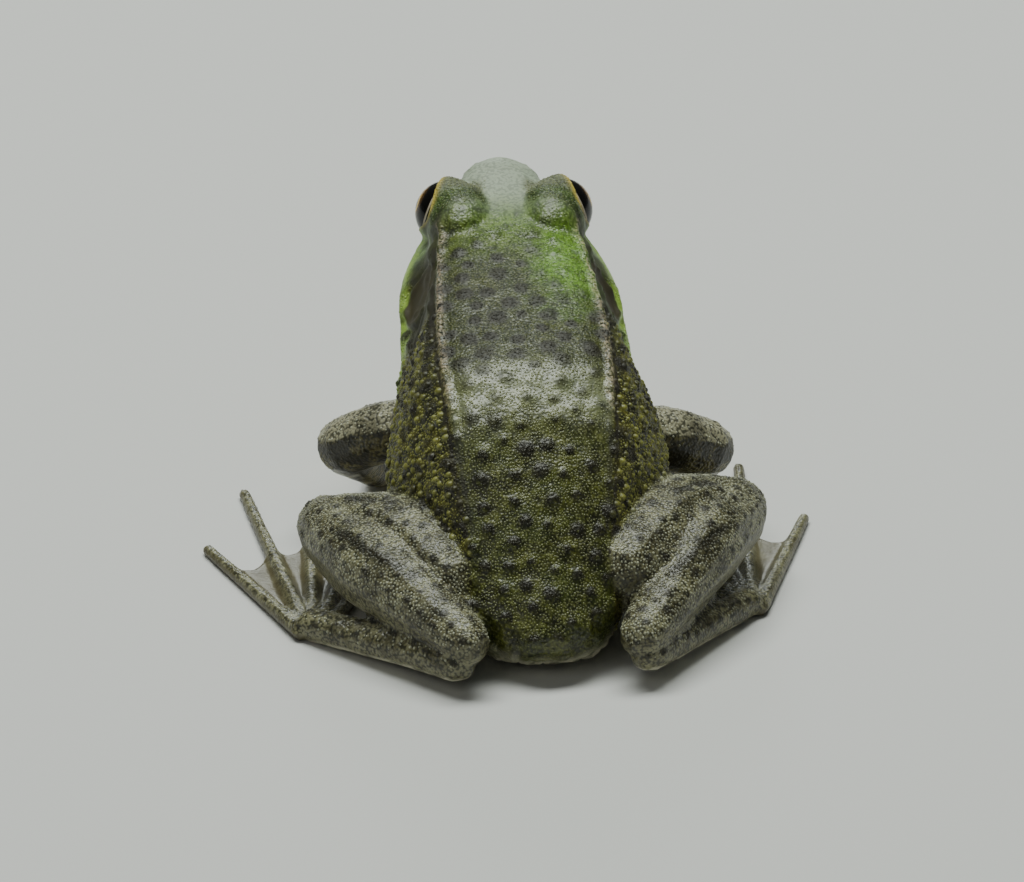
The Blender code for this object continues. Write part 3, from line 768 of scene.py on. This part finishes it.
mark["flank"] = trunk * outside_fold * fade(back, 27, 33) * (1 - under)
mark["limb"] = limbs
# The arm's top is painted paler, partly its own tone and partly painted sheen from above.
mark["arm top"] = arms * fade(faces_up, 0.3, 0.6)
mark["arm side"] = arms * fade(faces_up, 0.45, 0.15) * fade(faces_up, -0.9, -0.7)
mark["web"] = soft(1, "foot") * fade(up, 1.5, 0.9)
# The face's pale grey-blue is partly painted sheen, the light's reflection laid into its colour.
mark["face"] = head * fade(back, 21, 11)
dorsal = (1 - limbs) * fade(faces_up, 0.2, 0.6) * fade(back, 15, 20)
# The neck is painted darker, as painted shade; the mark also dulls its warts and lowers its bumps.
mark["neck"] = dorsal * fade(back, 22, 29) * fade(back, 51, 47)
# The hump's band is wetter and smoother, and is also painted pale there as painted sheen.
mark["wet"] = dorsal * bump_at(back - HUMP_MM, HUMP_HALF_MM)

# A dark spot lies round each wart, wider on the neck and faint on the green nape and the hump.
# Each is set a little behind its wart, on the side turned from the light, as partly painted shade.
neck = dorsal * fade(back, 22, 27) * fade(back, 52, 48)
spot_ground = {
    "back": dorsal, "flank": mark["flank"],
    "limbs": limbs * fade(faces_up, 0.0, 0.4) * (1 - mark["web"]) * (1 - 0.8 * arms),
}
spots = np.zeros(len(points))
for seed, (place, ground) in enumerate(spot_ground.items()):
    gap, which = nearest_root(points, wart_roots[place] + np.array(SPOT_SHADE_SHIFT))
    rng = np.random.default_rng(SPOT_SEED + seed)
    size = rng.uniform(*SPOT_RADIUS_MM[place], len(wart_roots[place]))[which]
    spot = fade(gap - 0.2 * neck + 0.25 * fine, size, size * 0.5)
    spots = np.maximum(spots, spot * fade(ground, 0.2, 0.6))
clear_nape = np.maximum(0.8 * mark["green"], 0.75 * fade(back, 26, 21)) * (1 - limbs)
mark["spots"] = spots * (1 - mark["ear"]) * (1 - 0.5 * mark["wet"]) * (1 - clear_nape)

smoothness = {"ear": 1.0, "throat": 1.0, "web": 0.8, "under": 0.7, "face": 0.35, "lip": 0.6, "line": 0.8}
smooth = most(*(share * mark[name] for name, share in smoothness.items()))
mark["grain"] = np.clip(1 - smooth, 0, 1) * (0.75 + 0.25 * np.maximum(fade(back, 24, 50), limbs))
mark["grain"] = np.maximum(mark["grain"], 0.9 * lid) * (1 - 0.5 * mark["wet"])

bare_head = (ear_gap > 5.2) * (1 - mark["line"])
neck_granules = np.maximum(dorsal * fade(back, 17, 22), lid)
mark["neck granules"] = neck_granules * fade(back, 62, 52) * bare_head
mark["back granules"] = dorsal * fade(back, 50, 60)
mark["limb granules"] = (
    limbs * fade(faces_up, 0.0, 0.35) * (1 - mark["web"]) * fade(up, 1.5, 3.0)
    * (1 - 0.7 * soft(2, "tarsus", *DIGITS)) * (1 - 0.75 * arms)
)
mark["flank granules"] = mark["flank"] * (1 - dorsal) * (ear_gap > 5.2) * fade(back, 72, 68)
flank_side = fade(np.abs(faces_up), 0.95, 0.75)
mark["flank warts"] = mark["flank"] * (ear_gap > 5.6) * flank_side * fade(back, 70, 62)
for name, values in mark.items():
    layer = skin.data.attributes.new(name, "FLOAT", "POINT")
    layer.data.foreach_set("value", np.clip(values, 0, 1).astype(np.float32))

# ---------------- the skin's material
# Moist skin over colour cells: olive brown grained with tan granules, glossy with mucus. The
# pigment is one group, so that warts and granules carry the same markings as the skin. It also
# paints pale bead and granule tops as highlights and dark hollows between beads as shade.

SKIN_BUMP_MM = 0.085
SKIN_SPECULAR = 0.55
SMOOTHEST = 0.31  # the roughness of skin under a full coat of mucus


def srgb(red, green, blue):
    """A colour given as 0 to 255 display values, for a node's colour socket."""
    shares = (value / 255 for value in (red, green, blue))
    return tuple(s / 12.92 if s <= 0.04045 else ((s + 0.055) / 1.055) ** 2.4 for s in shares) + (1.0,)


def add(tree, kind, inputs=None, **settings):
    """A node with its settings, and its sockets linked or filled."""
    node = tree.nodes.new(kind)
    for name, value in settings.items():
        setattr(node, name, value)
    for key, value in (inputs or {}).items():
        if isinstance(value, bpy.types.NodeSocket):
            tree.links.new(value, node.inputs[key])
        else:
            node.inputs[key].default_value = value
    return node


def maths(tree, operation, *values, clamp=False):
    """One operation on a value or two; a third joins their result, and so on."""
    inputs = dict(enumerate(values[:2]))
    result = add(tree, "ShaderNodeMath", inputs, operation=operation, use_clamp=clamp).outputs[0]
    return maths(tree, operation, result, *values[2:]) if values[2:] else result


def blend_colours(tree, share, first, second):
    return add(tree, "ShaderNodeMix", {0: share, 6: first, 7: second}, data_type="RGBA").outputs[2]


def amount(tree, name):
    return add(tree, "ShaderNodeAttribute", attribute_name=name).outputs["Fac"]


def ramp(tree, value, low, high):
    """How far a value has come from low to high, as a smooth 0 to 1."""
    limits = {0: value, 1: low, 2: high}
    return add(tree, "ShaderNodeMapRange", limits, interpolation_type="SMOOTHSTEP").outputs[0]


def at_size(tree, size_mm):
    """The inputs that make a texture of this size."""
    return {"Vector": add(tree, "ShaderNodeTexCoord").outputs["Object"], "Scale": 1 / (size_mm * MM)}


def noise_of(tree, size_mm, detail=3.0, roughness=0.55):
    inputs = {**at_size(tree, size_mm), "Detail": detail, "Roughness": roughness}
    return add(tree, "ShaderNodeTexNoise", inputs).outputs[0]


pigment = bpy.data.node_groups.new("frog pigment", "ShaderNodeTree")
pigment.interface.new_socket("Tip", in_out="INPUT", socket_type="NodeSocketFloat")
pigment.interface.new_socket("Color", in_out="OUTPUT", socket_type="NodeSocketColor")
pigment.interface.new_socket("Roughness", in_out="OUTPUT", socket_type="NodeSocketFloat")
pigment.interface.new_socket("Height", in_out="OUTPUT", socket_type="NodeSocketFloat")
given = add(pigment, "NodeGroupInput").outputs
operations = ("ADD", "MULTIPLY", "SUBTRACT", "MAXIMUM")
plus, times, less, greatest = (functools.partial(maths, pigment, kind) for kind in operations)


def shown(name, factor=None):
    """How much a mark shows at a point, times a factor."""
    share = amount(pigment, name)
    return times(share, factor) if factor else share


def patchy(share, first, second):
    """Skin of two colours, patched by a share."""
    return blend_colours(pigment, share, srgb(*first), srgb(*second))


def painted(colour, *layers):
    """A colour with layers over it, each a share and the colour laid on."""
    for share, over in layers:
        colour = blend_colours(pigment, share, colour, over)
    return colour


wide, medium, fine = (noise_of(pigment, size_mm) for size_mm in (6.0, 1.8, 0.5))
cells = add(pigment, "ShaderNodeTexVoronoi", at_size(pigment, 0.36), feature="SMOOTH_F1")
beads = less(1.0, times(cells.outputs["Distance"], 1.5), clamp=True)
dark = greatest(shown("spots"), shown("line"), shown("bars"))
# Bead tops are painted paler, partly pale skin and partly painted highlight; the hollows between get
# painted shade.
bead_tops_and_highlights = times(ramp(pigment, beads, 0.5, 0.9), shown("grain"), less(0.45, times(dark, 0.4)))
shade_between_beads = times(ramp(pigment, beads, 0.45, 0.1), shown("grain"), plus(0.6, shown("limb", 0.2)))
limb_colour = painted(
    patchy(ramp(pigment, medium, 0.3, 0.7), (80, 76, 50), (132, 130, 100)),
    # Partly painted sheen: a paler top to each arm.
    (shown("arm top", 0.6), srgb(170, 166, 142)),
    (shown("arm side", 0.6), srgb(112, 102, 46)),
)
colour = painted(
    patchy(ramp(pigment, medium, 0.35, 0.65), (38, 40, 8), (88, 92, 32)),
    (times(ramp(pigment, wide, 0.4, 0.65), 0.5), srgb(56, 68, 16)),
    # Painted shade: the neck darker.
    (shown("neck", 0.6), srgb(36, 42, 2)),
    # Painted sheen: a pale band across the hump.
    (shown("wet", 0.42), srgb(144, 150, 120)),
    # Partly painted sheen: the face's pale grey-blue.
    (shown("face"), patchy(medium, (134, 146, 126), (166, 176, 158))),
    (shown("lid", 0.8), patchy(medium, (58, 60, 30), (104, 108, 74))),
    # Painted shade: the lid's rear, dark green.
    (shown("lid rear", 0.92), srgb(36, 52, 5)),
    (shown("flank"), patchy(ramp(pigment, medium, 0.4, 0.62), (28, 28, 3), (84, 82, 20))),
    (shown("limb"), limb_colour),
    (times(shown("green"), ramp(pigment, medium, 0.2, 0.55)), patchy(fine, (44, 92, 4), (132, 176, 52))),
    (
        times(shown("lip"), ramp(pigment, medium, 0.15, 0.45)),
        patchy(medium, (120, 156, 48), (166, 196, 92)),
    ),
    # Dark marks: spots, bars and lines, carrying the painted shade of the temple, folds, mouth, arms and
    # warts.
    (times(dark, 0.9), srgb(24, 18, 4)),
    (bead_tops_and_highlights, srgb(140, 138, 96)),
    (shade_between_beads, srgb(14, 14, 2)),
    (times(shown("fold"), ramp(pigment, beads, 0.1, 0.5)), srgb(204, 184, 160)),
    (shown("ear"), patchy(medium, (32, 28, 8), (54, 48, 16))),
    (shown("under"), patchy(ramp(pigment, medium, 0.5, 0.62), (206, 202, 178), (120, 118, 96))),
    (shown("throat", 0.85), patchy(medium, (206, 178, 60), (190, 176, 84))),
    (shown("web", 0.7), srgb(72, 64, 42)),
    (shown("lid_rim"), srgb(196, 176, 78)),
)
# Granule tops are painted paler: partly their own pale tips, partly painted highlight.
tip_colour = painted(
    patchy(shown("flank"), (126, 130, 76), (178, 180, 84)),
    (shown("green", 0.8), srgb(130, 176, 50)),
    (shown("limb"), srgb(190, 192, 168)),
    (shown("fold"), srgb(216, 198, 178)),
    # Painted shade: darker granule tips on the neck.
    (shown("neck", 0.6), srgb(92, 98, 32)),
)
tip_share = less(plus(0.46, shown("limb", 0.3)), times(dark, 0.66))
colour = painted(colour, (times(given["Tip"], tip_share), tip_colour))

# The mucus lies thin on the flanks, lids, face, ear discs and warts, and thick on the hump.
dull_warts = times(shown("spots"), plus(0.35, shown("neck", 0.45)))
dull = greatest(
    shown("flank", 0.4), less(shown("lid"), shown("lid rear", 0.7)), shown("face", 0.6),
    shown("ear"), shown("line"), dull_warts,
)
roughness = plus(SMOOTHEST, times(fine, 0.1), times(dull, 0.3))
roughness = less(roughness, shown("wet", 0.05))
height = plus(times(beads, shown("grain")), times(fine, 0.1))
height = times(height, less(1.0, greatest(shown("neck", 0.2), shown("wet", 0.35))))
add(pigment, "NodeGroupOutput", {"Color": colour, "Roughness": roughness, "Height": height})


def skin_material(name, bump_mm, has_tips):
    """Skin with the frog's pigment, and on granules a paler tip that is partly painted highlight."""
    material = bpy.data.materials.new(name)
    material.use_nodes = True
    tree = material.node_tree
    shader = tree.nodes["Principled BSDF"]
    group = add(tree, "ShaderNodeGroup", node_tree=pigment)
    if has_tips:
        tree.links.new(amount(tree, "tip"), group.inputs["Tip"])
    bump = add(tree, "ShaderNodeBump", {
        "Height": group.outputs["Height"], "Distance": bump_mm * MM, "Strength": 1.0,
    })
    tree.links.new(group.outputs["Color"], shader.inputs["Base Color"])
    tree.links.new(group.outputs["Roughness"], shader.inputs["Roughness"])
    tree.links.new(bump.outputs["Normal"], shader.inputs["Normal"])
    shader.inputs["Specular IOR Level"].default_value = SKIN_SPECULAR
    return material


skin.data.materials.clear()
skin.data.materials.append(skin_material("frog skin", SKIN_BUMP_MM, False))
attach(skin, "root")
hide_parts(*FLESH)

# ---------------- granules and warts
# Glands raise the skin of the back and legs in fine granules, and the flanks in round warts.
# Each is a low dome of skin, scattered over the skin's surface and sunk a little into it. Its top
# is painted paler, partly the gland's own pale tip and partly painted highlight.

PATCH = 0.0015  # half the width of each dome's patch on the unwrap
GRANULE_BUMP_MM = 0.05


def scatter_tree():
    """Domes over a mesh where an attribute says; Height and Sunk are shares of their radius."""
    tree = bpy.data.node_groups.new("skin glands", "GeometryNodeTree")
    for kind, names in (
        ("Geometry", ("Geometry",)),
        ("Float", ("Spacing", "Density", "Smallest", "Largest", "Height", "Sunk")),
        ("Int", ("Seed", "Sides", "Rings")),
        ("String", ("Where",)),
        ("Material", ("Material",)),
    ):
        for name in names:
            tree.interface.new_socket(name, in_out="INPUT", socket_type="NodeSocket" + kind)
    tree.interface.new_socket("Geometry", in_out="OUTPUT", socket_type="NodeSocketGeometry")
    given = add(tree, "NodeGroupInput").outputs

    def node(kind, inputs=None, **settings):
        return add(tree, "GeometryNode" + kind, inputs, **settings).outputs[0]

    def joined(x, y, z=0.0):
        return add(tree, "ShaderNodeCombineXYZ", {0: x, 1: y, 2: z}).outputs[0]

    def stored(geometry, name, value, kind, domain="POINT"):
        inputs = {"Geometry": geometry, "Name": name, "Value": value}
        return node("StoreNamedAttribute", inputs, data_type=kind, domain=domain)

    roots = add(tree, "GeometryNodeDistributePointsOnFaces", {
        "Mesh": given["Geometry"], "Distance Min": given["Spacing"], "Density Max": given["Density"],
        "Density Factor": node("InputNamedAttribute", {"Name": given["Where"]}, data_type="FLOAT"),
        "Seed": given["Seed"],
    }, distribute_method="POISSON").outputs

    cone = node("MeshCone", {
        "Vertices": given["Sides"], "Side Segments": given["Rings"],
        "Radius Top": 0.0, "Radius Bottom": 1.0, "Depth": 1.0,
    }, fill_type="NGON")
    at = add(tree, "ShaderNodeSeparateXYZ", {0: node("InputPosition")}).outputs
    squares = [maths(tree, "MULTIPLY", at[axis], at[axis]) for axis in (0, 1)]
    out = maths(tree, "SQRT", maths(tree, "ADD", *squares))
    rise = maths(tree, "COSINE", maths(tree, "MULTIPLY", out, math.pi / 2))
    height = maths(tree, "SUBTRACT", maths(tree, "MULTIPLY", rise, given["Height"]), given["Sunk"])
    dome = node("SetPosition", {"Geometry": cone, "Position": joined(at[0], at[1], height)})
    dome = stored(dome, "patch", joined(at[0], at[1]), "FLOAT_VECTOR")
    dome = stored(dome, "tip", rise, "FLOAT")

    sizes = {2: given["Smallest"], 3: given["Largest"], "Seed": given["Seed"]}
    size = add(tree, "FunctionNodeRandomValue", sizes, data_type="FLOAT").outputs[1]
    placed = node("InstanceOnPoints", {
        "Points": roots["Points"], "Instance": dome, "Rotation": roots["Rotation"],
        "Scale": joined(size, size, size),
    })
    whole = node("RealizeInstances", {"Geometry": placed})
    vector = {"data_type": "FLOAT_VECTOR"}
    unwrap, patch = (
        node("InputNamedAttribute", {"Name": name}, **vector) for name in ("unwrap", "patch")
    )
    patch = add(tree, "ShaderNodeVectorMath", {0: patch, "Scale": PATCH}, operation="SCALE").outputs[0]
    unwrap = add(tree, "ShaderNodeVectorMath", {0: unwrap, 1: patch}, operation="ADD").outputs[0]
    whole = stored(whole, "OFBake", unwrap, "FLOAT2", "CORNER")
    whole = node("SetShadeSmooth", {"Geometry": whole})
    whole = node("SetMaterial", {"Geometry": whole, "Material": given["Material"]})
    add(tree, "NodeGroupOutput", {"Geometry": whole})
    return tree


glands = scatter_tree()
gland_socket = {
    item.name: item.identifier for item in glands.interface.items_tree if item.in_out == "INPUT"
}
gland_material = skin_material("frog granules", GRANULE_BUMP_MM, True)


def scatter(name, spacing_mm, density, radii_mm, height, sunk, seed, sides=6, rings=2):
    """One group of glands as an object of its own, in plain mesh; density is for a square metre."""
    obj = linked(name, skin.data.copy())
    modifier = obj.modifiers.new("glands", "NODES")
    modifier.node_group = glands
    for key, value in {
        "Where": name.replace("_", " "), "Spacing": spacing_mm * MM, "Density": density,
        "Smallest": radii_mm[0] * MM, "Largest": radii_mm[1] * MM, "Height": height, "Sunk": sunk,
        "Seed": seed, "Sides": sides, "Rings": rings, "Material": gland_material,
    }.items():
        modifier[gland_socket[key]] = value
    bake_modifiers(obj)
    obj.data.name = name
    for extra in ("unwrap", "patch"):
        layer = obj.data.attributes.get(extra)
        if layer:
            obj.data.attributes.remove(layer)
    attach(obj, "root")


scatter("neck_granules", 0.34, 14e6, (0.12, 0.25), 0.42, 0.08, 2)
scatter("back_granules", 0.31, 20e6, (0.13, 0.28), 0.46, 0.1, 3)
scatter("limb_granules", 0.36, 14e6, (0.14, 0.28), 0.58, 0.14, 5)
scatter("flank_granules", 0.34, 16e6, (0.12, 0.28), 0.6, 0.14, 6)
scatter("flank_warts", 1.0, 2e6, (0.3, 0.72), 0.66, 0.16, 7, sides=12, rings=4)

# ---------------- the eyes
# Each eye is a moist ball under a clear front, with a golden iris netted in brown round a
# black pupil that lies level, let into its lids.

EYE_RINGS, EYE_STEPS = 40, 56
GAZE = (0.86, -0.42, 0.26)
PUPIL_WIDE = 0.66  # the pupil's height over its width

eye_paint = bpy.data.materials.new("frog eye")
eye_paint.use_nodes = True
tree = eye_paint.node_tree


def length_of(x, y):
    """The length of a flat vector, in a shader's tree."""
    squares = [maths(tree, "MULTIPLY", value, value) for value in (x, y)]
    return maths(tree, "SQRT", maths(tree, "ADD", *squares))


# The rings of colour, in degrees from the gaze, from the iris out to the white, and a pale ring
# at its edge that is a painted reflection.
gaze = add(tree, "ShaderNodeAttribute", attribute_name="gaze").outputs["Vector"]
gaze = add(tree, "ShaderNodeSeparateXYZ", {0: gaze}).outputs
radius = length_of(gaze[0], gaze[1])
oval = length_of(maths(tree, "MULTIPLY", gaze[0], PUPIL_WIDE), gaze[1])
netting = noise_of(tree, 0.55, 4.0, 0.65)
edge_gleam = maths(tree, "MULTIPLY", ramp(tree, radius, 65.0, 66.5), ramp(tree, radius, 70.0, 68.5))
iris = srgb(190, 146, 52)
for share, over in (
    (ramp(tree, netting, 0.42, 0.6), (66, 46, 16)),
    (ramp(tree, radius, 26.0, 40.0), (72, 50, 18)),
    (ramp(tree, oval, 25.0, 20.5), (224, 190, 104)),
    (ramp(tree, oval, 19.5, 18.3), (4, 4, 5)),
    (ramp(tree, radius, 39.0, 46.0), (10, 9, 8)),
    (ramp(tree, radius, 68.0, 72.0), (34, 38, 24)),
    (edge_gleam, (170, 160, 140)),
):
    iris = blend_colours(tree, share, iris, srgb(*over))
shader = tree.nodes["Principled BSDF"]
tree.links.new(iris, shader.inputs["Base Color"])
for socket, value in (
    ("Roughness", 0.25), ("Coat Weight", 0.35), ("Specular IOR Level", 0.1), ("Coat Roughness", 0.03),
):
    shader.inputs[socket].default_value = value

# The ball's rings run from the gaze to the back, and its two poles come last.
turns = [
    (180 * ring / EYE_RINGS, math.tau * step / EYE_STEPS)
    for ring in range(1, EYE_RINGS) for step in range(EYE_STEPS)
] + [(0, 0), (180, 0)]
last_ring = (EYE_RINGS - 2) * EYE_STEPS
front_pole, rear_pole = len(turns) - 2, len(turns) - 1
faces = []
for low in range(0, last_ring, EYE_STEPS):
    for step in range(EYE_STEPS):
        after, high = (step + 1) % EYE_STEPS, low + EYE_STEPS
        faces.append([low + step, low + after, high + after, high + step])
for step in range(EYE_STEPS):
    after = (step + 1) % EYE_STEPS
    faces.append([front_pole, after, step])
    faces.append([rear_pole, last_ring + step, last_ring + after])
seen_at = np.array([(a * math.cos(t), a * math.sin(t), 0.0) for a, t in turns], dtype=np.float32)

for side, name in (("L", "eye_left"), ("R", "eye_right")):
    places = [eye_place(side, eye_radius, angle, turn, GAZE) for angle, turn in turns]
    ball = object_of(name, places, faces)
    face_outwards(ball)
    layer = ball.data.attributes.new("gaze", "FLOAT_VECTOR", "POINT")
    layer.data.foreach_set("vector", seen_at.ravel())
    ball.data.shade_smooth()
    ball.data.materials.append(eye_paint)
    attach(ball, "root")
    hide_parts("eye_" + side)

# ---------------- the floor
# The frog rests on a plain pale table, matt as a painted board, that runs out past the view
# on every side.

FLOOR_HALF = 3
FLOOR_CORNERS = ((-1, -1), (1, -1), (1, 1), (-1, 1))

corners = [(x * FLOOR_HALF, y * FLOOR_HALF, 0) for x, y in FLOOR_CORNERS]
floor = object_of("floor", corners, [(0, 1, 2, 3)])
floor_paint = bpy.data.materials.new("pale table")
floor_paint.use_nodes = True
shader = floor_paint.node_tree.nodes["Principled BSDF"]
shader.inputs["Base Color"].default_value = (0.62, 0.62, 0.62, 1)
shader.inputs["Roughness"].default_value = 0.9
floor.data.materials.append(floor_paint)

# ---------------- camera and lights
# The frog is seen from behind and above with a long lens. A broad soft light hangs high before
# it, a small low one ahead gives the gleam that water would, and a faint one fills from behind.

CAMERA_AZIMUTH = math.radians(176.5)
CAMERA_ELEVATION = math.radians(26.0)
CAMERA_DISTANCE = 1.4
LENS_MM, SENSOR_MM = 373.1, 36.0
LOOK_AT = Vector((-0.002576, 0.005099, 0.015))
LOOK_RIGHT, LOOK_UP = -0.002586, 0.004565

back_to_camera = Vector((
    math.sin(CAMERA_AZIMUTH) * math.cos(CAMERA_ELEVATION),
    -math.cos(CAMERA_AZIMUTH) * math.cos(CAMERA_ELEVATION),
    math.sin(CAMERA_ELEVATION),
))
picture_right = (-back_to_camera).cross(Vector((0, 0, 1))).normalized()
picture_up = picture_right.cross(-back_to_camera)
camera_data = bpy.data.cameras.new("camera")
camera_data.lens = LENS_MM
camera_data.sensor_width = SENSOR_MM
camera_data.clip_start = 0.01
camera = linked("camera", camera_data)
camera.location = (
    LOOK_AT + picture_right * LOOK_RIGHT + picture_up * LOOK_UP + back_to_camera * CAMERA_DISTANCE
)
camera.rotation_euler = (-back_to_camera).to_track_quat("-Z", "Y").to_euler()
bpy.context.scene.camera = camera


def soft_light(name, place, wide, deep, watts, colour):
    """An oval light that faces the frog."""
    data = bpy.data.lights.new(name, "AREA")
    data.shape = "ELLIPSE"
    data.size, data.size_y = wide, deep
    data.energy = watts
    data.color = colour
    light = linked(name, data)
    light.location = place
    light.rotation_euler = (LOOK_AT - Vector(place)).to_track_quat("-Z", "Y").to_euler()


soft_light("sky", (0.03, -0.22, 1.03), 1.1, 0.36, 14.5, (0.95, 1.0, 0.92))
soft_light("water gleam", (0.0, -1.3, 0.5), 0.4, 0.4, 2.5, (0.94, 1.0, 0.96))
soft_light("fill", (0.7, 0.8, 0.9), 0.8, 0.8, 1.2, (1.0, 0.98, 0.94))
world = bpy.data.worlds.new("studio")
world.use_nodes = True
background = world.node_tree.nodes["Background"]
background.inputs["Color"].default_value = (0.8, 0.87, 0.82, 1)
background.inputs["Strength"].default_value = 0.1
bpy.context.scene.world = world
